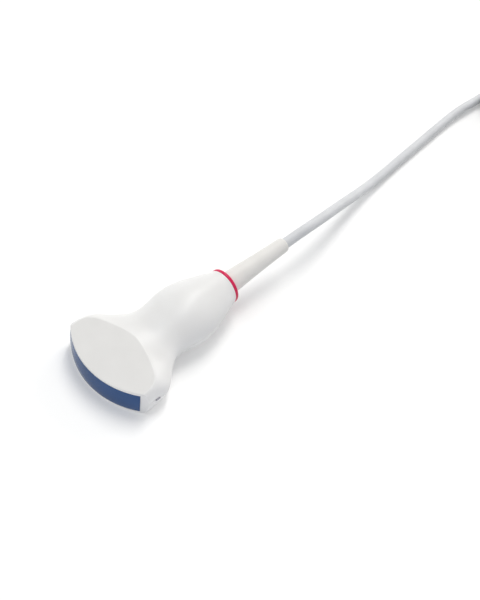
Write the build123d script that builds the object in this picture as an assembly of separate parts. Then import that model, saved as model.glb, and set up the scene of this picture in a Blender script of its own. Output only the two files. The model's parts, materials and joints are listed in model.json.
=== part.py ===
"""Convex ultrasound transducer probe with its cable and connector, in millimetres with +Z up.

The probe lies on its lower facet and on the belly of its handle. +Y runs from the acoustic lens to the
cable, and +X is the side with the orientation mark. The cable runs on along the table to a hank, and
the connector stands behind the hank on its contact shroud.

The pieces of the probe are drawn about the probe's own axis: the apex of the lens arc is the zero point,
Y is the axis and Z the thickness. STANCE then pitches them on to the table.
"""
from build123d import *
import math
import os

# Acoustic stack, all arcs about one upright line behind the lens
LENS_RADIUS = 50.0
LENS_HALF_ANGLE = 36.9
LENS_HALF_HEIGHT = 7.6
LENS_DEPTH = 3.5
LENS_CROWN = 0.6
STACK_HALF_ANGLE = 35.0
STACK_HALF_HEIGHT = 5.5
MATCHING_THICKNESS = 0.4
CERAMIC_THICKNESS = 0.6
BACKING_THICKNESS = 8.0
CARRIER_THICKNESS = 3.0
CARRIER_HALF_ANGLE = 36.2
ELEMENT_COUNT = 128
KERF = 0.08
KERF_DEPTH = 0.5

# Housing: distance from the lens, half width, half thickness, and how full the section's corners are,
# as the share of a Bezier handle (0.55 is an ellipse)
STATIONS = [
    (-1.0, 31.8, 15.9, 0.84),
    (8.0, 32.5, 16.0, 0.84),
    (17.0, 33.8, 15.5, 0.84),
    (24.0, 34.1, 13.6, 0.75),
    (28.0, 33.4, 12.5, 0.66),
    (32.0, 31.0, 11.6, 0.58),
    (37.0, 26.6, 10.9, 0.55),
    (42.0, 22.6, 10.7, 0.55),
    (48.0, 19.6, 11.5, 0.55),
    (58.0, 19.5, 13.6, 0.56),
    (68.0, 20.6, 15.05, 0.58),
    (80.0, 19.4, 14.6, 0.57),
    (90.0, 16.5, 13.3, 0.55),
    (97.0, 13.8, 12.2, 0.55),
    (103.0, 11.6, 11.4, 0.552),
]
FACET_HALF_HEIGHT = 8.3
FACET_SLOPE = 0.1
WAIST = 40.0
WALL = 2.0
HOUSING_END = 103.0
CAVITY_END = 93.0
FACET_ROUND = 2.4
RIM_ROUND = 0.55
SEAM_DEPTH = 0.25
SEAM_WIDTH = 0.2
FIT = 0.1
SPACE = 200.0

# Orientation mark on the +X side
MARK_LENGTH = 3.4
MARK_HEIGHT = 1.3
MARK_STATION = 19.7
MARK_FLOOR = 32.9
MARK_TOP = 34.4

# Neck ring and strain relief
RING_RADIUS = 11.6
RING_WIDTH = 2.4
RING_ROUND = 0.6
NECK_RADIUS = 7.0
FLANGE_RADIUS = 9.4
FLANGE_START = 96.0
FLANGE_END = 99.0
BUNDLE_BORE = 8.0
RELIEF_START_RADIUS = 7.4
RELIEF_MIDDLE_RADIUS = 5.9
RELIEF_END_RADIUS = 4.9
RELIEF_END = 157.5
RELIEF_ROUND = 1.2

# Electronics in the handle
FLEX_LEVEL = 5.8
FLEX_THICKNESS = 0.2
FLEX_TAIL_HALF_WIDTH = 9.5
FLEX_TAIL_END = 36.0
BOARD_HALF_WIDTH = 11.0
BOARD_START = 28.0
BOARD_END = 66.0
BOARD_LEVEL = 3.0
BOARD_THICKNESS = 1.2
SOCKET_LENGTH = 5.0
STANDOFF_RADIUS = 1.5
STANDOFF_SIDE = 8.5
STANDOFF_STATIONS = (40.0, 61.0)
SHIELD_START, SHIELD_END = 32.0, 90.0
SHIELD_GAP = 0.5
SHIELD_THICKNESS = 0.3
BUNDLE_RADIUS = 3.1
BUNDLE_FAN_END = 86.0
FERRULE_RADIUS = 4.3
FERRULE_START = 87.0
FERRULE_END = 94.0

# Place of the probe on the table
PROBE_MIDDLE = 78.15
PITCH = math.degrees(math.atan(FACET_SLOPE))
REST_RISE = FACET_HALF_HEIGHT * math.cos(math.radians(PITCH))
STANCE = Pos(0, -PROBE_MIDDLE, REST_RISE) * Rot(X=PITCH)

# Cable, the hank that it is folded into for storage, and the strap round the hank
CABLE_DIAMETER = 7.0
CABLE_LEVEL = CABLE_DIAMETER / 2
CABLE_LEAD = 17.0
HANK_X, HANK_START = 1.0, 378.0
HANK_RUN = 120.0
HANK_LANES = 2
HANK_LAYERS = 2
HANK_OUTER_TURN = 32.1
HANK_PITCH = 7.1
HANK_STUB = 30.0
HANK_SLACK = 0.3
STRAP_THICKNESS = 1.2
STRAP_WIDTH = 16.0
HANK_END = HANK_START + HANK_RUN
HANK_LINE_X = HANK_X - HANK_OUTER_TURN
LOW_LAYER = STRAP_THICKNESS + FIT + HANK_SLACK + CABLE_DIAMETER / 2
HIGH_LAYER = LOW_LAYER + HANK_PITCH

# Connector, standing on its contact shroud with the lock lever on top
CONNECTOR_X, CONNECTOR_Y = -12.0, 700.0
CASE_WIDTH, CASE_LENGTH = 50.0, 84.0
CASE_CORNER = 7.0
CASE_WALL = 2.0
CASE_LOW, CASE_PARTING, CASE_TOP = 8.0, 18.0, 34.0
CASE_DRAFT = 7.0
CASE_ROUND = 3.0
SHROUD_WIDTH, SHROUD_LENGTH = 34.0, 62.0
SHROUD_WALL = 1.4
SHROUD_CORNER = 4.0
SHROUD_FLANGE = 2.0
BLOCK_LOW, BLOCK_TOP = 2.0, 13.0
BAR_ROOM_RADIUS = 11.0
BAR_ROOM_TOP = 6.4
STRIP_ROWS = 6
STRIP_PITCH = 5.0
STRIP_WIDTH = 1.6
STRIP_LENGTH = 14.0
STRIP_MIDDLE = 20.0
STRIP_HEIGHT = 0.8
CARD_WIDTH, CARD_LENGTH, CARD_THICKNESS = 36.0, 64.0, 1.6
POST_X, POST_Y = 18.5, 35.5
POST_RADIUS = 2.8
POST_HOLE = 1.3
SCREW_RADIUS = 1.2
SCREW_HEAD_RADIUS = 2.4
SCREW_HEAD_HEIGHT = 1.4
SCREW_REACH = 22.0
SHAFT_RADIUS = 4.0
SHAFT_FIT = 0.08
SHAFT_ROOM = 0.5
SHAFT_LOW, SHAFT_TOP = 2.6, 40.0
BAR_LENGTH, BAR_WIDTH, BAR_HEIGHT = 19.0, 5.0, 3.0
BUSH_RADIUS = 8.0
BUSH_DEPTH = 9.0
LEVER_LOW, LEVER_TOP = 34.5, 44.0
LEVER_LENGTH, LEVER_WIDTH = 56.0, 15.0
LEVER_HUB_RADIUS = 11.0
LEVER_HUB_HEIGHT = 4.0
LEVER_ROUND = 2.5
LEVER_SCREW_HEAD = 3.4
LEVER_SCREW_RADIUS = 1.6
LEVER_SCREW_LENGTH = 8.0
BOOT_LENGTH = 30.0
BOOT_START_RADIUS, BOOT_END_RADIUS = 6.4, 5.0
BOOT_FLANGE_RADIUS = 7.6
BOOT_FLANGE_SETBACK = 1.4
BOOT_FLANGE_WIDTH = 2.0

# Route of the cable from the strain relief to the hank, and from the hank to the connector
EXIT = STANCE * Pos(0, RELIEF_END, 0)
LEAD = STANCE * Pos(0, RELIEF_END + CABLE_LEAD, 0)
BOOT_TIP_Y = CONNECTOR_Y - CASE_LENGTH / 2 - BOOT_LENGTH
CABLE_ROUTE = [
    tuple(EXIT.position),
    tuple(LEAD.position),
    (-1.8, 117.0, 23.6),
    (-5.8, 141.0, 18.4),
    (-10.4, 166.0, 11.6),
    (-14.8, 193.0, 5.6),
    (-18.9, 221.0, CABLE_LEVEL),
    (-22.8, 251.0, CABLE_LEVEL),
    (-26.4, 281.0, CABLE_LEVEL),
    (-29.6, 308.0, 3.9),
    (HANK_LINE_X, 330.0, LOW_LAYER),
    (HANK_LINE_X, HANK_START - HANK_STUB, LOW_LAYER),
]
TAIL_ROUTE = [
    (HANK_LINE_X, HANK_END + HANK_STUB, HIGH_LAYER),
    (HANK_LINE_X, 546.0, HIGH_LAYER),
    (-26.0, 568.0, 14.4),
    (-17.0, 589.0, 17.0),
    (CONNECTOR_X, 610.0, CASE_PARTING),
    (CONNECTOR_X, BOOT_TIP_Y, CASE_PARTING),
]


def sector(inner, outer, half_angle, low, high):
    """Block between two radii about the lens centre, spread by the half angle to each side."""
    first = 270.0 - half_angle
    outer_arc = CenterArc((0, LENS_RADIUS), outer, first, 2 * half_angle)
    inner_arc = CenterArc((0, LENS_RADIUS), inner, first, 2 * half_angle)
    sides = [Line(outer_arc @ end, inner_arc @ end) for end in (0, 1)]
    outline = make_face([outer_arc, inner_arc, *sides])
    return Pos(0, 0, low) * extrude(outline, high - low)


def spun(profile):
    """Solid of revolution about the probe's axis from (radius, distance) corners."""
    corners = [(radius, distance, 0) for radius, distance in profile]
    return revolve(make_face(Polyline(*corners, close=True)), Axis.Y)


def half_section(station, inset):
    """Closed half section above the mid-plane: a crown of two Bezier quarters over a straight base."""
    y, half_width, half_thickness, fullness = station
    width = half_width - inset
    height = half_thickness - inset
    crown = (0, y, height)
    reach = fullness * width
    rise = fullness * height
    right = Bezier((width, y, 0), (width, y, rise), (reach, y, height), crown)
    left = Bezier(crown, (-reach, y, height), (-width, y, rise), (-width, y, 0))
    return Wire([right, left, Line(left @ 1, right @ 0)])


def half_horn(inset):
    """Upper half of the flared handle, all around smaller by the inset."""
    return Part() + Solid.make_loft([half_section(station, inset) for station in STATIONS])


def between(start, end):
    """Everything between two distances from the lens."""
    return Pos(0, (start + end) / 2, 0) * Box(SPACE, end - start, SPACE)


def over_facet(inset):
    """Block over the plane of the upper facet, above the head."""
    plane = Plane((0, 0, FACET_HALF_HEIGHT - inset), x_dir=(1, 0, 0), z_dir=(0, -FACET_SLOPE, 1))
    return extrude(plane * Pos(0, WAIST / 2, 0) * Rectangle(SPACE, WAIST + LENS_RADIUS), LENS_RADIUS)


def behind_arc(radius):
    """Everything behind an upright cylinder about the lens centre, which is the curve of the front."""
    drum = Pos(0, LENS_RADIUS, 0) * Cylinder(radius, SPACE)
    return drum + Pos(0, LENS_RADIUS + SPACE / 2, 0) * Box(SPACE, SPACE, SPACE)


def mark(grow):
    """Rounded bar of the orientation mark, or the pocket for it when grown."""
    side = Plane((MARK_FLOOR, MARK_STATION, 0), x_dir=(0, 1, 0), z_dir=(1, 0, 0))
    outline = SlotOverall(MARK_LENGTH + 2 * grow, MARK_HEIGHT + 2 * grow)
    return extrude(side * outline, MARK_TOP - MARK_FLOOR)


def half_shell():
    """Outer form of the upper half: rounded behind the facet and round the front, with half of the seam."""
    shell = (half_horn(0.0) - over_facet(0.0)) & behind_arc(LENS_RADIUS)
    facet = shell.faces().filter_by(GeomType.PLANE).sort_by(Axis.Z)[-1]
    shell = fillet(facet.edges().filter_by(GeomType.BSPLINE), FACET_ROUND)
    front = shell.faces().filter_by(GeomType.CYLINDER)[0]
    rim = front.edges().sort_by(Axis.Z)[1:]
    shell = fillet(rim, RIM_ROUND)
    seam = (half_horn(0.0) - half_horn(SEAM_DEPTH)) & Box(SPACE, 2 * SPACE, SEAM_WIDTH)
    return shell - seam


def make_upper_housing():
    pocket_floor = LENS_RADIUS - LENS_DEPTH
    cavity = (half_horn(WALL) - over_facet(WALL)) & behind_arc(pocket_floor)
    cavity &= between(CAVITY_END - SPACE, CAVITY_END)
    lens_room = LENS_HALF_HEIGHT + FIT / 2
    pocket = sector(pocket_floor, LENS_RADIUS + LENS_DEPTH, LENS_HALF_ANGLE + FIT, -lens_room, lens_room)
    neck = spun([(0, CAVITY_END), (BUNDLE_BORE, CAVITY_END), (BUNDLE_BORE, FLANGE_START - FIT),
                 (FLANGE_RADIUS + FIT, FLANGE_START - FIT), (FLANGE_RADIUS + FIT, FLANGE_END + FIT),
                 (NECK_RADIUS + FIT, FLANGE_END + FIT), (NECK_RADIUS + FIT, HOUSING_END),
                 (0, HOUSING_END)])
    return half_shell() - cavity - pocket - neck - mark(FIT / 2)


def make_acoustic_lens():
    """Silicone lens: an arc-shaped bar with a crowned front."""
    back = LENS_RADIUS - LENS_DEPTH
    front = ThreePointArc((LENS_RADIUS, 0, -LENS_HALF_HEIGHT), (LENS_RADIUS + LENS_CROWN, 0, 0),
                          (LENS_RADIUS, 0, LENS_HALF_HEIGHT))
    rear = Polyline(front @ 1, (back, 0, LENS_HALF_HEIGHT), (back, 0, -LENS_HALF_HEIGHT), front @ 0)
    bar = revolve(make_face([front, *rear.edges()]), Axis.Z, 2 * LENS_HALF_ANGLE)
    return Pos(0, LENS_RADIUS, 0) * Rot(Z=-90 - LENS_HALF_ANGLE) * bar


def stack_layer(front, thickness):
    """Layer of the acoustic stack, from a depth behind the lens front."""
    outer = LENS_RADIUS - front
    return sector(outer - thickness, outer, STACK_HALF_ANGLE, -STACK_HALF_HEIGHT, STACK_HALF_HEIGHT)


def make_piezo_array(front):
    """Ceramic bar with a kerf sawn between each two elements."""
    outer = LENS_RADIUS - front
    floor = outer - KERF_DEPTH
    step = 2 * math.radians(STACK_HALF_ANGLE) / ELEMENT_COUNT
    half_kerf = KERF / 2 / outer
    comb = []
    for element in range(ELEMENT_COUNT):
        left = -math.radians(STACK_HALF_ANGLE) + element * step
        edges = (left + half_kerf, left + step - half_kerf)
        for radius, angle in ((floor, edges[0]), (outer, edges[0]), (outer, edges[1]), (floor, edges[1])):
            comb.append((radius * math.sin(angle), LENS_RADIUS - radius * math.cos(angle)))
    rear = outer - CERAMIC_THICKNESS
    last = math.radians(STACK_HALF_ANGLE)
    ends = [(rear * math.sin(last), LENS_RADIUS - rear * math.cos(last)),
            (-rear * math.sin(last), LENS_RADIUS - rear * math.cos(last))]
    back = ThreePointArc(ends[0], (0, LENS_RADIUS - rear), ends[1])
    teeth = Polyline(ends[1], *comb, ends[0])
    outline = make_face([*teeth.edges(), back])
    return Pos(0, 0, -STACK_HALF_HEIGHT) * extrude(outline, 2 * STACK_HALF_HEIGHT)


def make_array_carrier(front):
    """Curved rail behind the backing, with cheeks that close the ends of the stack."""
    outer = LENS_RADIUS - front
    rail = sector(outer - CARRIER_THICKNESS, LENS_RADIUS - LENS_DEPTH, CARRIER_HALF_ANGLE,
                  -STACK_HALF_HEIGHT, STACK_HALF_HEIGHT)
    return rail - sector(outer, LENS_RADIUS, STACK_HALF_ANGLE, -SPACE, SPACE)


def make_upper_flex(front):
    """Flexible circuit: a fan over the acoustic stack and a tail to the board socket."""
    fan = sector(LENS_RADIUS - front - BACKING_THICKNESS, LENS_RADIUS - front, STACK_HALF_ANGLE - 1,
                 FLEX_LEVEL, FLEX_LEVEL + FLEX_THICKNESS)
    tail_start = front + BACKING_THICKNESS / 2
    tail = Box(2 * FLEX_TAIL_HALF_WIDTH, FLEX_TAIL_END - tail_start, FLEX_THICKNESS)
    return fan + Pos(0, (tail_start + FLEX_TAIL_END) / 2, FLEX_LEVEL + FLEX_THICKNESS / 2) * tail


def make_upper_board():
    board = Box(2 * BOARD_HALF_WIDTH, BOARD_END - BOARD_START, BOARD_THICKNESS)
    return Pos(0, (BOARD_START + BOARD_END) / 2, BOARD_LEVEL + BOARD_THICKNESS / 2) * board


def make_flex_sockets():
    """Low sockets that clamp the flex tails to the boards, one on each."""
    height = FLEX_LEVEL - BOARD_LEVEL - BOARD_THICKNESS
    socket = Box(2 * FLEX_TAIL_HALF_WIDTH, SOCKET_LENGTH, height)
    upper = Pos(0, FLEX_TAIL_END - SOCKET_LENGTH / 2, FLEX_LEVEL - height / 2) * socket
    return [upper, mirror(upper, Plane.XY)]


def make_board_standoffs():
    post = Cylinder(STANDOFF_RADIUS, 2 * BOARD_LEVEL)
    return [Pos(side * STANDOFF_SIDE, station, 0) * post
            for side in (-1, 1) for station in STANDOFF_STATIONS]


def make_shield_sleeve():
    """Copper screen that lines the cavity of the handle around the boards."""
    outside = half_horn(WALL + SHIELD_GAP)
    half = (outside - half_horn(WALL + SHIELD_GAP + SHIELD_THICKNESS)) & between(SHIELD_START, SHIELD_END)
    return half + mirror(half, Plane.XY)


def make_coax_bundle():
    """Micro-coaxes: fanned out flat at the boards, gathered into a round bundle at the cable."""
    flat = Plane((0, BOARD_END, 0), x_dir=(1, 0, 0), z_dir=(0, 1, 0)) * Ellipse(BOARD_HALF_WIDTH - 1, 5.0)
    gathered = Plane((0, BUNDLE_FAN_END, 0), x_dir=(1, 0, 0), z_dir=(0, 1, 0)) * Circle(BUNDLE_RADIUS)
    fan = loft([flat, gathered])
    return fan + spun([(0, BUNDLE_FAN_END), (BUNDLE_RADIUS, BUNDLE_FAN_END), (BUNDLE_RADIUS, FLANGE_START),
                       (0, FLANGE_START)])


def make_crimp_ferrule():
    bore = BUNDLE_RADIUS + FIT
    return spun([(bore, FERRULE_START), (FERRULE_RADIUS, FERRULE_START), (FERRULE_RADIUS, FERRULE_END),
                 (bore, FERRULE_END)])


def make_neck_ring():
    end = HOUSING_END + RING_WIDTH
    ring = spun([(NECK_RADIUS + FIT, HOUSING_END), (RING_RADIUS, HOUSING_END), (RING_RADIUS, end),
                 (NECK_RADIUS + FIT, end)])
    rims = ring.edges().filter_by(GeomType.CIRCLE).filter_by(lambda rim: rim.radius > RING_RADIUS - FIT)
    return fillet(rims, RING_ROUND)


def make_strain_relief():
    """Boot moulded on the cable: a flange held in the neck, then a hollow taper with a rounded end."""
    taper_start = HOUSING_END + RING_WIDTH
    taper = ThreePointArc((RELIEF_START_RADIUS, taper_start),
                          (RELIEF_MIDDLE_RADIUS, (taper_start + RELIEF_END) / 2),
                          (RELIEF_END_RADIUS, RELIEF_END))
    rest = Polyline(taper @ 1, (0, RELIEF_END), (0, FLANGE_START), (FLANGE_RADIUS, FLANGE_START),
                    (FLANGE_RADIUS, FLANGE_END), (NECK_RADIUS, FLANGE_END), (NECK_RADIUS, taper_start),
                    taper @ 0)
    boot = revolve(make_face([taper, *rest.edges()]), Axis.Y)
    rim = boot.edges().filter_by(GeomType.CIRCLE).sort_by(Axis.Y)[-1]
    return fillet(rim, RELIEF_ROUND)


def cord_radii(points):
    """Largest arc at each corner of a route that leaves a short straight between two arcs."""
    radii = []
    for before, corner, after in zip(points, points[1:], points[2:]):
        arriving = Vector(*corner) - Vector(*before)
        leaving = Vector(*after) - Vector(*corner)
        turn = math.radians(arriving.get_angle(leaving))
        radii.append(0.45 * min(arriving.length, leaving.length) / math.tan(turn / 2))
    return radii


def make_tube(name, points):
    radii = cord_radii(points)
    path = FilletPolyline(*points, radius=radii)
    tube = sweep(Plane(path @ 0, z_dir=path % 0) * Circle(CABLE_DIAMETER / 2), path=path)
    section = math.pi * CABLE_DIAMETER ** 2 / 4
    print(name, "length", round(path.length, 1), "radii", [round(radius) for radius in radii],
          "volume share", round(tube.volume / (section * path.length), 4))
    return tube


def make_cable_hank():
    """Outer form of the folded cable, with the straight ends that lead in and out."""
    corner = CABLE_DIAMETER / 2 + HANK_SLACK
    across = (HANK_LANES - 1) * HANK_PITCH + 2 * corner
    height = (HANK_LAYERS - 1) * HANK_PITCH + 2 * corner
    middle = HANK_OUTER_TURN - (HANK_LANES - 1) * HANK_PITCH / 2
    centre = (middle, 0, (LOW_LAYER + HIGH_LAYER) / 2)
    section = Plane(centre, x_dir=(1, 0, 0), z_dir=(0, -1, 0)) * RectangleRounded(across, height, corner)
    bend = revolve(section, Axis.Z, 180)
    run = extrude(section, -HANK_RUN)
    hank = Pos(0, HANK_RUN, 0) * bend + Rot(Z=180) * bend + run + Pos(-2 * middle, 0, 0) * run
    stub = Rot(X=90) * Cylinder(CABLE_DIAMETER / 2, HANK_STUB)
    hank += Pos(-HANK_OUTER_TURN, -HANK_STUB / 2, LOW_LAYER) * stub
    hank += Pos(-HANK_OUTER_TURN, HANK_RUN + HANK_STUB / 2, HIGH_LAYER) * stub
    return Pos(HANK_X, HANK_START, 0) * hank


def make_hank_strap():
    """Strap round both sides of the hank, half way along it."""
    corner = CABLE_DIAMETER / 2 + HANK_SLACK + FIT
    room = (2 * (HANK_OUTER_TURN + corner), HIGH_LAYER - LOW_LAYER + 2 * corner)
    inside = RectangleRounded(*room, corner)
    grown = (side + 2 * STRAP_THICKNESS for side in room)
    band = extrude(RectangleRounded(*grown, corner + STRAP_THICKNESS) - inside, STRAP_WIDTH)
    level = (LOW_LAYER + HIGH_LAYER) / 2
    return Pos(HANK_X, (HANK_START + HANK_END + STRAP_WIDTH) / 2, level) * Rot(X=90) * band


def case_block(width, length, corner, low, high, draft=0.0):
    outline = RectangleRounded(width, length, corner)
    return Pos(0, 0, low) * extrude(outline, high - low, taper=draft)


def boot_bore(radius):
    """Bore for the cable boot through the connector's end wall."""
    return Pos(0, -CASE_LENGTH / 2, CASE_PARTING) * Rot(X=90) * Cylinder(radius, 4 * CASE_WALL)


def posts(radius, low, high):
    """Upright cylinders at the four screw places."""
    post = Pos(0, 0, (low + high) / 2) * Cylinder(radius, high - low)
    return [Pos(x * POST_X, y * POST_Y, 0) * post for x in (-1, 1) for y in (-1, 1)]


def make_connector_base():
    outside = case_block(CASE_WIDTH, CASE_LENGTH, CASE_CORNER, CASE_LOW, CASE_PARTING)
    inside = case_block(CASE_WIDTH - 2 * CASE_WALL, CASE_LENGTH - 2 * CASE_WALL, CASE_CORNER - CASE_WALL,
                        CASE_LOW + CASE_WALL, CASE_PARTING)
    window = case_block(SHROUD_WIDTH + 2 * FIT, SHROUD_LENGTH + 2 * FIT, SHROUD_CORNER,
                        CASE_LOW, CASE_PARTING)
    base = outside - inside - window - boot_bore(BOOT_START_RADIUS + FIT)
    return base - posts(SCREW_RADIUS + FIT, CASE_LOW, CASE_PARTING)


def make_connector_cover():
    outside = case_block(CASE_WIDTH, CASE_LENGTH, CASE_CORNER, CASE_PARTING, CASE_TOP, CASE_DRAFT)
    outside = fillet(outside.faces().sort_by(Axis.Z)[-1].edges(), CASE_ROUND)
    inside = case_block(CASE_WIDTH - 2 * CASE_WALL, CASE_LENGTH - 2 * CASE_WALL, CASE_CORNER - CASE_WALL,
                        CASE_PARTING, CASE_TOP - CASE_WALL, CASE_DRAFT)
    bush = Pos(0, 0, CASE_TOP - BUSH_DEPTH / 2) * Cylinder(BUSH_RADIUS, BUSH_DEPTH)
    cover = outside - inside + bush
    cover += [post & outside for post in posts(POST_RADIUS, CASE_PARTING, CASE_TOP)]
    cover += posts(POST_RADIUS, CASE_LOW + CASE_WALL, CASE_PARTING)
    cover -= posts(POST_HOLE, CASE_LOW, SCREW_REACH + CASE_LOW)
    cover -= boot_bore(BOOT_START_RADIUS + FIT)
    return cover - Pos(0, 0, CASE_TOP / 2) * Cylinder(SHAFT_RADIUS + SHAFT_FIT, 2 * CASE_TOP)


def make_contact_shroud():
    """Metal shell round the contacts, with a flange on the floor of the base."""
    floor = CASE_LOW + CASE_WALL
    tube = case_block(SHROUD_WIDTH, SHROUD_LENGTH, SHROUD_CORNER - FIT, 0.0, floor)
    flange = case_block(SHROUD_WIDTH + 2 * SHROUD_FLANGE, SHROUD_LENGTH + 2 * SHROUD_FLANGE, SHROUD_CORNER,
                        floor, floor + SHROUD_WALL)
    room = case_block(SHROUD_WIDTH - 2 * SHROUD_WALL, SHROUD_LENGTH - 2 * SHROUD_WALL,
                      SHROUD_CORNER - SHROUD_WALL, -FIT, BLOCK_TOP)
    return tube + flange - room


def make_contact_block():
    """Insulator with room for the lock's bar in the middle of its face."""
    inset = 2 * (SHROUD_WALL + FIT)
    block = case_block(SHROUD_WIDTH - inset, SHROUD_LENGTH - inset, SHROUD_CORNER - SHROUD_WALL - FIT,
                       BLOCK_LOW, BLOCK_TOP)
    bar_room = Pos(0, 0, BLOCK_LOW) * extrude(Circle(BAR_ROOM_RADIUS), BAR_ROOM_TOP - BLOCK_LOW)
    return block - bar_room - Pos(0, 0, BLOCK_TOP) * Cylinder(SHAFT_RADIUS + SHAFT_ROOM, 2 * BLOCK_TOP)


def make_contact_strips():
    strip = Box(STRIP_WIDTH, STRIP_LENGTH, STRIP_HEIGHT)
    first = -(STRIP_ROWS - 1) / 2 * STRIP_PITCH
    return [Pos(first + row * STRIP_PITCH, end * STRIP_MIDDLE, BLOCK_LOW - STRIP_HEIGHT / 2) * strip
            for row in range(STRIP_ROWS) for end in (-1, 1)]


def make_connector_board():
    card = Pos(0, 0, BLOCK_TOP + CARD_THICKNESS / 2) * Box(CARD_WIDTH, CARD_LENGTH, CARD_THICKNESS)
    return card - Pos(0, 0, BLOCK_TOP) * Cylinder(SHAFT_RADIUS + SHAFT_ROOM, 2 * BLOCK_TOP)


def make_cover_screws():
    heads = posts(SCREW_HEAD_RADIUS, CASE_LOW - SCREW_HEAD_HEIGHT, CASE_LOW)
    shanks = posts(SCREW_RADIUS, CASE_LOW, CASE_LOW + SCREW_REACH - FIT)
    return [head + shank for head, shank in zip(heads, shanks)]


def make_lock_shaft():
    shaft = Pos(0, 0, (SHAFT_LOW + SHAFT_TOP) / 2) * Cylinder(SHAFT_RADIUS, SHAFT_TOP - SHAFT_LOW)
    bar = Pos(0, 0, SHAFT_LOW + BAR_HEIGHT / 2) * Box(BAR_WIDTH, BAR_LENGTH, BAR_HEIGHT)
    bore = Pos(0, 0, SHAFT_TOP) * Cylinder(LEVER_SCREW_RADIUS + FIT, 2 * LEVER_SCREW_LENGTH)
    return shaft + bar - bore


def make_lock_lever():
    """Wing lever on a round hub, screwed to the top of the shaft."""
    wing = extrude(SlotOverall(LEVER_LENGTH, LEVER_WIDTH), LEVER_TOP - LEVER_LOW)
    wing = fillet(wing.faces().sort_by(Axis.Z)[-1].edges(), LEVER_ROUND)
    hub = extrude(Circle(LEVER_HUB_RADIUS), LEVER_HUB_HEIGHT)
    lever = Pos(0, 0, LEVER_LOW) * Rot(Z=90) * (wing + hub)
    lever -= Pos(0, 0, SHAFT_TOP / 2) * Cylinder(SHAFT_RADIUS + FIT / 2, SHAFT_TOP)
    return lever - Pos(0, 0, SHAFT_TOP) * extrude(Circle(LEVER_SCREW_HEAD + FIT), LEVER_TOP - SHAFT_TOP)


def make_lever_screw():
    head = Pos(0, 0, SHAFT_TOP) * extrude(Circle(LEVER_SCREW_HEAD), (LEVER_TOP - SHAFT_TOP) / 2)
    shank = extrude(Circle(LEVER_SCREW_RADIUS), LEVER_SCREW_LENGTH)
    return head + Pos(0, 0, SHAFT_TOP - LEVER_SCREW_LENGTH) * shank


def make_connector_boot():
    """Boot of the connector end, held by a flange behind the end wall."""
    wall_inside = BOOT_LENGTH + CASE_WALL + BOOT_FLANGE_SETBACK
    end = wall_inside + BOOT_FLANGE_WIDTH
    boot = spun([(0, 0), (BOOT_END_RADIUS, 0), (BOOT_START_RADIUS, BOOT_LENGTH),
                 (BOOT_START_RADIUS, wall_inside), (BOOT_FLANGE_RADIUS, wall_inside),
                 (BOOT_FLANGE_RADIUS, end), (0, end)])
    return Pos(CONNECTOR_X, BOOT_TIP_Y, CASE_PARTING) * boot


def probe_pieces():
    """Pieces drawn about the probe's axis."""
    upper_housing = make_upper_housing()
    depth = LENS_DEPTH
    pieces = {"upper_housing": upper_housing, "lower_housing": mirror(upper_housing, Plane.XY)}
    pieces["acoustic_lens"] = make_acoustic_lens()
    pieces["outer_matching_layer"] = stack_layer(depth, MATCHING_THICKNESS)
    depth += MATCHING_THICKNESS
    pieces["inner_matching_layer"] = stack_layer(depth, MATCHING_THICKNESS)
    depth += MATCHING_THICKNESS
    pieces["piezo_array"] = make_piezo_array(depth)
    depth += CERAMIC_THICKNESS
    pieces["backing_block"] = stack_layer(depth, BACKING_THICKNESS)
    upper_flex = make_upper_flex(depth)
    depth += BACKING_THICKNESS
    pieces["array_carrier"] = make_array_carrier(depth)
    pieces["upper_flex"] = upper_flex
    pieces["lower_flex"] = mirror(upper_flex, Plane.XY)
    upper_board = make_upper_board()
    pieces["upper_board"] = upper_board
    pieces["lower_board"] = mirror(upper_board, Plane.XY)
    pieces["flex_sockets"] = make_flex_sockets()
    pieces["board_standoffs"] = make_board_standoffs()
    pieces["shield_sleeve"] = make_shield_sleeve()
    pieces["coax_bundle"] = make_coax_bundle()
    pieces["crimp_ferrule"] = make_crimp_ferrule()
    pieces["neck_ring"] = make_neck_ring()
    pieces["strain_relief"] = make_strain_relief()
    pieces["orientation_marker"] = mark(0.0)
    return pieces


def connector_pieces():
    """Pieces drawn about the lock's upright axis, with the table as zero."""
    return {
        "connector_base": make_connector_base(),
        "connector_cover": make_connector_cover(),
        "contact_shroud": make_contact_shroud(),
        "contact_block": make_contact_block(),
        "contact_strips": make_contact_strips(),
        "connector_board": make_connector_board(),
        "cover_screws": make_cover_screws(),
        "lock_shaft": make_lock_shaft(),
        "lock_lever": make_lock_lever(),
        "lever_screw": make_lever_screw(),
    }


def cord_pieces():
    """Pieces drawn where they lie."""
    return {
        "cable": make_tube("cable", CABLE_ROUTE),
        "cable_hank": make_cable_hank(),
        "hank_strap": make_hank_strap(),
        "cable_tail": make_tube("cable_tail", TAIL_ROUTE),
        "connector_boot": make_connector_boot(),
    }


def write(name, piece, place):
    """One file for a node: a single solid, or a group of separate solids."""
    solids = piece if isinstance(piece, list) else [piece]
    placed = [place * solid for solid in solids]
    export_step(placed[0] if len(placed) == 1 else Compound(children=placed), f"parts/{name}.step")


os.makedirs("parts", exist_ok=True)
for pieces, place in ((probe_pieces(), STANCE), (connector_pieces(), Pos(CONNECTOR_X, CONNECTOR_Y, 0)),
                      (cord_pieces(), Pos(0, 0, 0))):
    for name, piece in pieces.items():
        write(name, piece, place)
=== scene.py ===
"""Looks of the convex ultrasound probe: its finishes, its cable, the floor, the light and the camera."""
import json
import math
import bpy
from mathutils import Matrix, Vector


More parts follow.
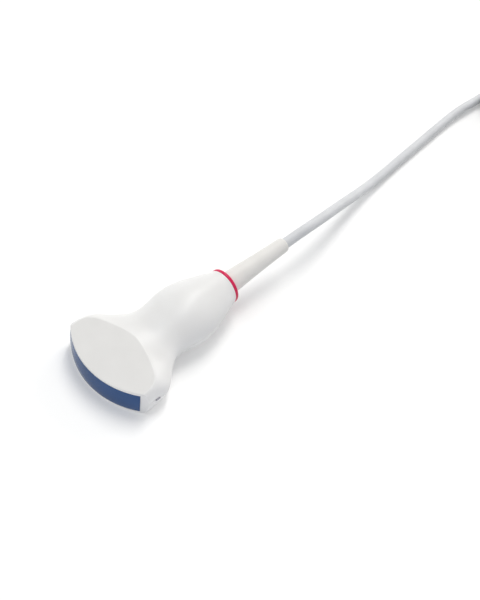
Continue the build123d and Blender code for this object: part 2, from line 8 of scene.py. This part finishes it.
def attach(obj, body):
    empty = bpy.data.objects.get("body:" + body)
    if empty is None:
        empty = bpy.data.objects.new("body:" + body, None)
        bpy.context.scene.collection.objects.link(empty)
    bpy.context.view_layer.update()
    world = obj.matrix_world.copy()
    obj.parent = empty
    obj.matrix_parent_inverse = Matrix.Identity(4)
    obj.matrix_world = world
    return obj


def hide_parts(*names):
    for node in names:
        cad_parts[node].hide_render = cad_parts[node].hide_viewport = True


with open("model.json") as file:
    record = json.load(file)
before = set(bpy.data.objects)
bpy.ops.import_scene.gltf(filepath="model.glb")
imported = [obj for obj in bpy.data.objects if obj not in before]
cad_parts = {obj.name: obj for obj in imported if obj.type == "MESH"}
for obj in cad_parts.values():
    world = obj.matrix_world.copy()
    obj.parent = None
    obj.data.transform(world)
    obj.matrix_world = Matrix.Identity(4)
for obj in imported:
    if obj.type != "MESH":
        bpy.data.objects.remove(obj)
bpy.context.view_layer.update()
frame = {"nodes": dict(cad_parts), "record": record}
nodes = frame["nodes"]
MM = 0.001

# Camera at the photograph's viewing angle, in millimetres, degrees and pixels
EYE = (247.48, -319.44, 457.89)
AZIMUTH = 34.093
ELEVATION = 46.513
ROLL = 14.369
FOCAL_PIXELS = 1000.0
FRAME_HEIGHT_PIXELS = 600.0
SENSOR = 36.0
NEAREST_SEEN = 10.0

# Cable, in millimetres: its route to the hank, and from the hank to the connector
CABLE_DIAMETER = 7.0
CABLE_ROUTE = [
    (0.0, 78.57, 23.93), (0.0, 95.48, 25.62), (-1.8, 117.0, 23.6), (-5.8, 141.0, 18.4),
    (-10.4, 166.0, 11.6), (-14.8, 193.0, 5.6), (-18.9, 221.0, 3.5), (-22.8, 251.0, 3.5),
    (-26.4, 281.0, 3.5), (-29.6, 308.0, 3.9), (-31.1, 330.0, 5.1), (-31.1, 348.0, 5.1),
]
TAIL_ROUTE = [
    (-31.1, 528.0, 12.2), (-31.1, 546.0, 12.2), (-26.0, 568.0, 14.4), (-17.0, 589.0, 17.0),
    (-12.0, 610.0, 18.0), (-12.0, 628.0, 18.0),
]
SECTION_STEPS = 7
LINE_STEPS = 6

# Hank, in millimetres: its middle line, the ends of its straight runs, the radii of its two lanes,
# the levels of its two layers, and the points of one fold
HANK_X = 1.0
HANK_START, HANK_END = 378.0, 498.0
OUTER, INNER = 32.1, 25.0
LOW, HIGH = 5.1, 12.2
FOLD_POINTS = 12

# Folds of the hank in order: lane before and after the fold, and level
FAR_FOLDS = [(OUTER, OUTER, LOW), (INNER, INNER, LOW), (INNER, OUTER, HIGH)]
NEAR_FOLDS = [(OUTER, INNER, LOW), (INNER, INNER, HIGH), (OUTER, OUTER, HIGH)]

# Moulded plastic, in millimetres: the size of its drifts of tone and of its uneven gloss, and its grain
TONE_DRIFT = 14.0
GLOSS_PATCH = 5.0
GRAIN = 0.35
GRAIN_DEPTH = 0.004

# Range that noise fills, and how fine its detail is in general and in grain
NOISE_LOW, NOISE_HIGH = 0.3, 0.7
NOISE_DETAIL = 3.0
GRAIN_DETAIL = 2.0

# Housing: its mirror strength, its least roughness, how far that varies, and what the facets add to it
HOUSING_SPECULAR = 0.4
HOUSING_ROUGHNESS = 0.28
HOUSING_UNEVENNESS = 0.08
FACET_ROUGHER = 0.12

# Plane of the upper facet, in millimetres: its level at y = 0, its slope, how far off it the finish
# reaches, and where it ends
FACET_LEVEL = 32.474
FACET_SLOPE = 0.202
FACET_DEPTH = 0.04
FACET_END = -45.0

# Threads of the strap: how many in a metre, how far they wander, and their depth in millimetres
THREADS_PER_METRE = 240.0
THREAD_WANDER = 0.4
THREAD_DEPTH = 0.2

# Marks of the tool on metal, in millimetres
TOOL_MARK = 0.5
TOOL_MARK_DEPTH = 0.004

# Floor, in metres: its size and colour, the strength of its glow by the probe and far off, and the
# distances between which the glow grows
FLOOR_SIZE = 12.0
FLOOR_COLOUR = (0.79, 0.79, 0.785, 1.0)
GLOW_NEAR, GLOW_FAR = 0.245, 0.95
GLOW_START, GLOW_END = 0.35, 1.5

# Light from all round, what is seen of it, and the colour of the two lamps overhead
SKY_COLOUR, SKY_STRENGTH = (0.97, 0.98, 1.0, 1.0), 0.385
WHITE_COLOUR, WHITE_STRENGTH = (1.0, 1.0, 1.0, 1.0), 1.0
OVERHEAD_COLOUR = (1.0, 0.99, 0.97)


def fold_points(end, side, before, after, level):
    """Half turn at one end of the hank, from the given side of it to the other."""
    points = []
    step = math.pi / FOLD_POINTS
    for index in range(FOLD_POINTS):
        share = (index + 0.5) / FOLD_POINTS
        # The line runs inside its points, so they stand out to keep it in its lane
        radius = (before + (after - before) * share) / math.cos(step / 2)
        angle = math.pi * share
        x = HANK_X + side * radius * math.cos(angle)
        points.append((x, end - side * radius * math.sin(angle), level))
    return points


def hank_points():
    """Turns of the stored cable: inwards along the lower layer, up, and outwards along the upper one."""
    middle = (HANK_START + HANK_END) / 2
    points = []
    for far, near in zip(FAR_FOLDS, NEAR_FOLDS):
        points.append((HANK_X - far[0], middle, far[2]))
        points += fold_points(HANK_END, -1, *far)
        points.append((HANK_X + near[0], middle, (far[2] + near[2]) / 2))
        points += fold_points(HANK_START, 1, *near)
    points.append((HANK_X - OUTER, middle, HIGH))
    return points


def make_cable():
    """Cable as one smooth line with a round section, from the strain relief to the connector's boot."""
    curve = bpy.data.curves.new("cable_line", "CURVE")
    curve.dimensions = "3D"
    curve.bevel_depth = CABLE_DIAMETER / 2 * MM
    curve.bevel_resolution = SECTION_STEPS
    curve.resolution_u = LINE_STEPS
    curve.use_fill_caps = True
    route = CABLE_ROUTE + hank_points() + TAIL_ROUTE
    spline = curve.splines.new("NURBS")
    spline.points.add(len(route) - 1)
    for point, place in zip(spline.points, route):
        point.co = (*(Vector(place) * MM), 1.0)
    spline.order_u = 3
    spline.use_endpoint_u = True
    cable = bpy.data.objects.new("free_cable", curve)
    bpy.context.scene.collection.objects.link(cable)
    return cable


def make_camera():
    """Camera that looks at the probe as the photograph does."""
    data = bpy.data.cameras.new("camera")
    data.sensor_width = SENSOR
    data.lens = SENSOR * FOCAL_PIXELS / FRAME_HEIGHT_PIXELS
    data.clip_start = NEAREST_SEEN * MM
    camera = bpy.data.objects.new("camera", data)
    bpy.context.scene.collection.objects.link(camera)
    turn = (Matrix.Rotation(math.radians(AZIMUTH), 4, "Z")
            @ Matrix.Rotation(math.radians(90 - ELEVATION), 4, "X")
            @ Matrix.Rotation(math.radians(ROLL), 4, "Z"))
    camera.matrix_world = Matrix.Translation(Vector(EYE) * MM) @ turn
    bpy.context.scene.camera = camera


def map_range(tree, value, start, end, first, second):
    """Node output that goes from first to second as a value goes from start to end."""
    node = tree.nodes.new("ShaderNodeMapRange")
    for socket, number in (("From Min", start), ("From Max", end), ("To Min", first), ("To Max", second)):
        node.inputs[socket].default_value = number
    tree.links.new(value, node.inputs["Value"])
    return node.outputs["Result"]


class Surface:
    """Material with one Principled shader and the nodes that feed it, in object space."""

    def __init__(self, name, metallic=0.0):
        self.material = bpy.data.materials.new(name)
        self.material.use_nodes = True
        self.tree = self.material.node_tree
        self.shader = self.tree.nodes["Principled BSDF"]
        self.shader.inputs["Metallic"].default_value = metallic
        self.place = self.tree.nodes.new("ShaderNodeTexCoord").outputs["Object"]

    def link(self, source, target):
        self.tree.links.new(source, target)

    def noise(self, size, detail=NOISE_DETAIL, stretch=(1, 1, 1)):
        """Noise with features of about the given size in millimetres."""
        scaling = self.tree.nodes.new("ShaderNodeMapping")
        scaling.inputs["Scale"].default_value = stretch
        self.link(self.place, scaling.inputs["Vector"])
        texture = self.tree.nodes.new("ShaderNodeTexNoise")
        texture.inputs["Scale"].default_value = 1 / (size * MM)
        texture.inputs["Detail"].default_value = detail
        self.link(scaling.outputs["Vector"], texture.inputs["Vector"])
        return texture.outputs["Fac"]

    def bands(self, direction):
        """Threads side by side along one axis."""
        texture = self.tree.nodes.new("ShaderNodeTexWave")
        texture.bands_direction = direction
        texture.inputs["Scale"].default_value = THREADS_PER_METRE
        texture.inputs["Distortion"].default_value = THREAD_WANDER
        self.link(self.place, texture.inputs["Vector"])
        return texture.outputs["Fac"]

    def ramp(self, value, first, second, start=NOISE_LOW, end=NOISE_HIGH):
        """Colour between two tones as a value goes from start to end."""
        node = self.tree.nodes.new("ShaderNodeValToRGB")
        for stop, position, colour in zip(node.color_ramp.elements, (start, end), (first, second)):
            stop.position = position
            stop.color = (*colour, 1.0)
        self.link(value, node.inputs["Fac"])
        return node.outputs["Color"]

    def calculate(self, operation, *values):
        """Result of a sum on node outputs and plain numbers."""
        node = self.tree.nodes.new("ShaderNodeMath")
        node.operation = operation
        for value, socket in zip(values, node.inputs):
            if isinstance(value, float):
                socket.default_value = value
            else:
                self.link(value, socket)
        return node.outputs["Value"]

    def colour(self, source):
        self.link(source, self.shader.inputs["Base Color"])

    def roughen(self, value, smooth, rough):
        """Roughness between two values as noise rises."""
        roughness = map_range(self.tree, value, NOISE_LOW, NOISE_HIGH, smooth, rough)
        self.link(roughness, self.shader.inputs["Roughness"])

    def bump(self, value, depth):
        """Relief of the given depth in millimetres."""
        node = self.tree.nodes.new("ShaderNodeBump")
        node.inputs["Distance"].default_value = depth * MM
        self.link(value, node.inputs["Height"])
        self.link(node.outputs["Normal"], self.shader.inputs["Normal"])


def moulded(name, first, second, smooth, rough, grain=GRAIN, depth=GRAIN_DEPTH, specular=0.5):
    """Moulded plastic: slight drifts of tone, uneven gloss and a fine grain."""
    surface = Surface(name)
    surface.shader.inputs["Specular IOR Level"].default_value = specular
    surface.colour(surface.ramp(surface.noise(TONE_DRIFT), first, second))
    surface.roughen(surface.noise(GLOSS_PATCH), smooth, rough)
    surface.bump(surface.noise(grain, GRAIN_DETAIL), depth)
    return surface.material


def facet_mask(surface):
    """1 on the flat facets of the head, and 0 on the rest of the housing."""
    split = surface.tree.nodes.new("ShaderNodeSeparateXYZ")
    surface.link(surface.place, split.inputs["Vector"])
    along, up = split.outputs["Y"], split.outputs["Z"]
    rise = surface.calculate("MULTIPLY", along, FACET_SLOPE)
    height = surface.calculate("SUBTRACT", up, rise)
    level = surface.calculate("COMPARE", height, FACET_LEVEL * MM, FACET_DEPTH * MM)
    in_front = surface.calculate("LESS_THAN", along, FACET_END * MM)
    upper = surface.calculate("MULTIPLY", level, in_front)
    lower = surface.calculate("LESS_THAN", up, FACET_DEPTH * MM)
    return surface.calculate("MAXIMUM", upper, lower)


def housing(name, plain, warm):
    """Satin white plastic, with a matt warm-grey finish on the flat facets of the head."""
    surface = Surface(name)
    surface.shader.inputs["Specular IOR Level"].default_value = HOUSING_SPECULAR
    facet = facet_mask(surface)
    drift = surface.noise(TONE_DRIFT)
    tone = surface.tree.nodes.new("ShaderNodeMix")
    tone.data_type = "RGBA"
    surface.link(facet, tone.inputs["Factor"])
    surface.link(surface.ramp(drift, *plain), tone.inputs["A"])
    surface.link(surface.ramp(drift, *warm), tone.inputs["B"])
    surface.colour(tone.outputs["Result"])
    patches = surface.noise(GLOSS_PATCH)
    uneven = surface.calculate("MULTIPLY_ADD", patches, HOUSING_UNEVENNESS, HOUSING_ROUGHNESS)
    roughness = surface.calculate("MULTIPLY_ADD", facet, FACET_ROUGHER, uneven)
    surface.link(roughness, surface.shader.inputs["Roughness"])
    surface.bump(surface.noise(GRAIN, GRAIN_DETAIL), GRAIN_DEPTH)
    return surface.material


def woven(name, dark, light):
    """Woven tape: threads across it and along it, dull all over."""
    surface = Surface(name)
    threads = surface.bands("Y")
    for direction in ("X", "Z"):
        threads = surface.calculate("MULTIPLY", threads, surface.bands(direction))
    surface.colour(surface.ramp(threads, dark, light, start=0.0, end=0.6))
    surface.roughen(surface.noise(size=3.0), smooth=0.75, rough=0.95)
    surface.bump(threads, THREAD_DEPTH)
    return surface.material


def metal(name, first, second, smooth, rough, stretch=(1, 1, 1)):
    """Worked metal: tone and gloss change along the marks of the tool."""
    surface = Surface(name, metallic=1.0)
    marks = surface.noise(TOOL_MARK, stretch=stretch)
    surface.colour(surface.ramp(marks, first, second))
    surface.roughen(marks, smooth, rough)
    surface.bump(marks, TOOL_MARK_DEPTH)
    return surface.material


def make_materials():
    """One finish for each material slot of the record: its two tones, and its least and most roughness."""
    return {
        "housing": housing("satin_white_housing",
                           plain=((0.79, 0.782, 0.767), (0.815, 0.81, 0.798)),
                           warm=((0.745, 0.735, 0.715), (0.77, 0.76, 0.74))),
        "lens": moulded("slate_blue_lens", (0.026, 0.075, 0.200), (0.032, 0.086, 0.226), 0.16, 0.22,
                        grain=0.25, specular=0.2),
        "marker": moulded("grey_marker", (0.36, 0.35, 0.385), (0.40, 0.39, 0.425), 0.4, 0.5),
        "ring": moulded("crimson_ring", (0.62, 0.008, 0.075), (0.68, 0.012, 0.09), 0.3, 0.38,
                        specular=0.3),
        "boot": moulded("warm_white_elastomer", (0.75, 0.735, 0.705), (0.79, 0.775, 0.745), 0.42, 0.52),
        "cable": moulded("grey_jacket", (0.60, 0.61, 0.625), (0.66, 0.67, 0.685), 0.4, 0.5),
        "strap": woven("black_strap", (0.010, 0.010, 0.012), (0.045, 0.045, 0.05)),
        "matching": moulded("loaded_epoxy", (0.36, 0.33, 0.29), (0.42, 0.39, 0.35), 0.5, 0.6),
        "ceramic": moulded("diced_ceramic", (0.50, 0.45, 0.35), (0.58, 0.53, 0.43), 0.55, 0.7),
        "absorber": moulded("absorber_epoxy", (0.03, 0.03, 0.03), (0.06, 0.06, 0.06), 0.6, 0.8),
        "carrier": moulded("carrier_plastic", (0.07, 0.07, 0.075), (0.1, 0.1, 0.105), 0.45, 0.55),
        "flex": moulded("polyimide_film", (0.42, 0.19, 0.03), (0.5, 0.24, 0.045), 0.25, 0.35),
        "circuit_board": moulded("solder_mask", (0.012, 0.10, 0.04), (0.02, 0.13, 0.055), 0.3, 0.4),
        "socket": moulded("socket_plastic", (0.66, 0.61, 0.5), (0.72, 0.67, 0.56), 0.45, 0.55),
        "metal": metal("turned_steel", (0.50, 0.50, 0.51), (0.62, 0.62, 0.63), 0.25, 0.4,
                       stretch=(1, 1, 6)),
        "copper": metal("copper_foil", (0.70, 0.33, 0.19), (0.78, 0.40, 0.25), 0.25, 0.38),
        "coax": moulded("fine_wires", (0.55, 0.55, 0.57), (0.68, 0.68, 0.70), 0.45, 0.6),
        "connector_case": moulded("textured_case", (0.66, 0.66, 0.655), (0.70, 0.70, 0.695), 0.45, 0.6,
                                  grain=0.6, depth=0.03),
        "shroud": metal("die_cast_shroud", (0.55, 0.55, 0.56), (0.64, 0.64, 0.65), 0.32, 0.45),
        "insulator": moulded("black_insulator", (0.018, 0.018, 0.02), (0.03, 0.03, 0.033), 0.5, 0.65),
        "gold": metal("gold_plating", (0.86, 0.58, 0.2), (0.92, 0.66, 0.28), 0.2, 0.3),
        "lever": moulded("grey_lever", (0.16, 0.165, 0.18), (0.19, 0.195, 0.21), 0.42, 0.55,
                         grain=0.5, depth=0.02),
    }


def dress(piece, material):
    piece.data.materials.clear()
    piece.data.materials.append(material)


def show(tree, output_type, lighting, seen):
    """Output with one shader for light that bounces, and one that the camera, mirrors and glass see."""
    path = tree.nodes.new("ShaderNodeLightPath")
    in_view = path.outputs["Is Camera Ray"]
    for ray in ("Is Glossy Ray", "Is Transmission Ray"):
        either = tree.nodes.new("ShaderNodeMath")
        either.operation = "MAXIMUM"
        tree.links.new(in_view, either.inputs[0])
        tree.links.new(path.outputs[ray], either.inputs[1])
        in_view = either.outputs["Value"]
    mix = tree.nodes.new("ShaderNodeMixShader")
    output = tree.nodes.new(output_type)
    tree.links.new(in_view, mix.inputs["Fac"])
    tree.links.new(lighting, mix.inputs[1])
    tree.links.new(seen, mix.inputs[2])
    tree.links.new(mix.outputs["Shader"], output.inputs["Surface"])


def make_floor():
    """Plain white floor: it bounces plain light, and the camera sees it white outside the shadow."""
    bpy.ops.mesh.primitive_plane_add(size=FLOOR_SIZE)
    floor = bpy.context.object
    floor.name = "floor"
    material = bpy.data.materials.new("white_floor")
    material.use_nodes = True
    tree = material.node_tree
    tree.nodes.clear()
    plain = tree.nodes.new("ShaderNodeBsdfDiffuse")
    plain.inputs["Color"].default_value = FLOOR_COLOUR
    # Far from the probe the lamps are weak, so the floor glows more there to stay white
    place = tree.nodes.new("ShaderNodeTexCoord")
    distance = tree.nodes.new("ShaderNodeVectorMath")
    distance.operation = "LENGTH"
    tree.links.new(place.outputs["Object"], distance.inputs[0])
    strength = map_range(tree, distance.outputs["Value"], GLOW_START, GLOW_END, GLOW_NEAR, GLOW_FAR)
    glow = tree.nodes.new("ShaderNodeEmission")
    tree.links.new(strength, glow.inputs["Strength"])
    both = tree.nodes.new("ShaderNodeAddShader")
    tree.links.new(plain.outputs["BSDF"], both.inputs[0])
    tree.links.new(glow.outputs["Emission"], both.inputs[1])
    show(tree, "ShaderNodeOutputMaterial", lighting=plain.outputs["BSDF"], seen=both.outputs["Shader"])
    dress(floor, material)


def make_world():
    """White surroundings for the camera and reflections, and a soft even light."""
    world = bpy.data.worlds.new("studio")
    bpy.context.scene.world = world
    world.use_nodes = True
    tree = world.node_tree
    tree.nodes.clear()
    backgrounds = []
    for colour, strength in ((SKY_COLOUR, SKY_STRENGTH), (WHITE_COLOUR, WHITE_STRENGTH)):
        background = tree.nodes.new("ShaderNodeBackground")
        background.inputs["Color"].default_value = colour
        background.inputs["Strength"].default_value = strength
        backgrounds.append(background.outputs["Background"])
    show(tree, "ShaderNodeOutputWorld", *backgrounds)


def add_lamp(name, place, size, power, colour, mirrored=True):
    """Soft lamp aimed at the probe, in metres and watts; highlights show it if it is mirrored."""
    data = bpy.data.lights.new(name, "AREA")
    data.shape = "RECTANGLE"
    data.size, data.size_y = size
    data.energy = power
    data.color = colour
    lamp = bpy.data.objects.new(name, data)
    lamp.visible_camera = False
    lamp.visible_glossy = mirrored
    bpy.context.scene.collection.objects.link(lamp)
    aim = -Vector(place)
    lamp.matrix_world = Matrix.Translation(place) @ aim.to_track_quat("-Z", "Y").to_matrix().to_4x4()


def make_lamps():
    """Soft light from above and behind, a narrow strip for the streak on the handle, and two fills."""
    add_lamp("key", place=(-0.9, 1.5, 3.4), size=(1.8, 2.4), power=56.0, colour=OVERHEAD_COLOUR,
             mirrored=False)
    add_lamp("strip", place=(-0.86, 1.2, 2.95), size=(0.2, 3.0), power=27.0, colour=OVERHEAD_COLOUR)
    add_lamp("back", place=(-0.3, 3.0, 1.5), size=(2.2, 0.6), power=19.0, colour=(1.0, 0.99, 0.98))
    add_lamp("left_fill", place=(-1.0, -1.0, 0.45), size=(0.6, 0.6), power=4.5, colour=(0.90, 0.95, 1.0))
    add_lamp("right_fill", place=(0.33, -0.19, 0.05), size=(0.14, 0.06), power=0.27,
             colour=(0.84, 0.88, 1.0), mirrored=False)


make_camera()
materials = make_materials()
for part in frame["record"]["subparts"]:
    dress(nodes[part["node"]], materials[part["material_slot"]])

cable = make_cable()
dress(cable, materials["cable"])
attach(cable, "transducer")
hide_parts("cable", "cable_hank", "cable_tail")

make_floor()
make_world()
make_lamps()
bpy.context.scene.view_settings.view_transform = "Standard"
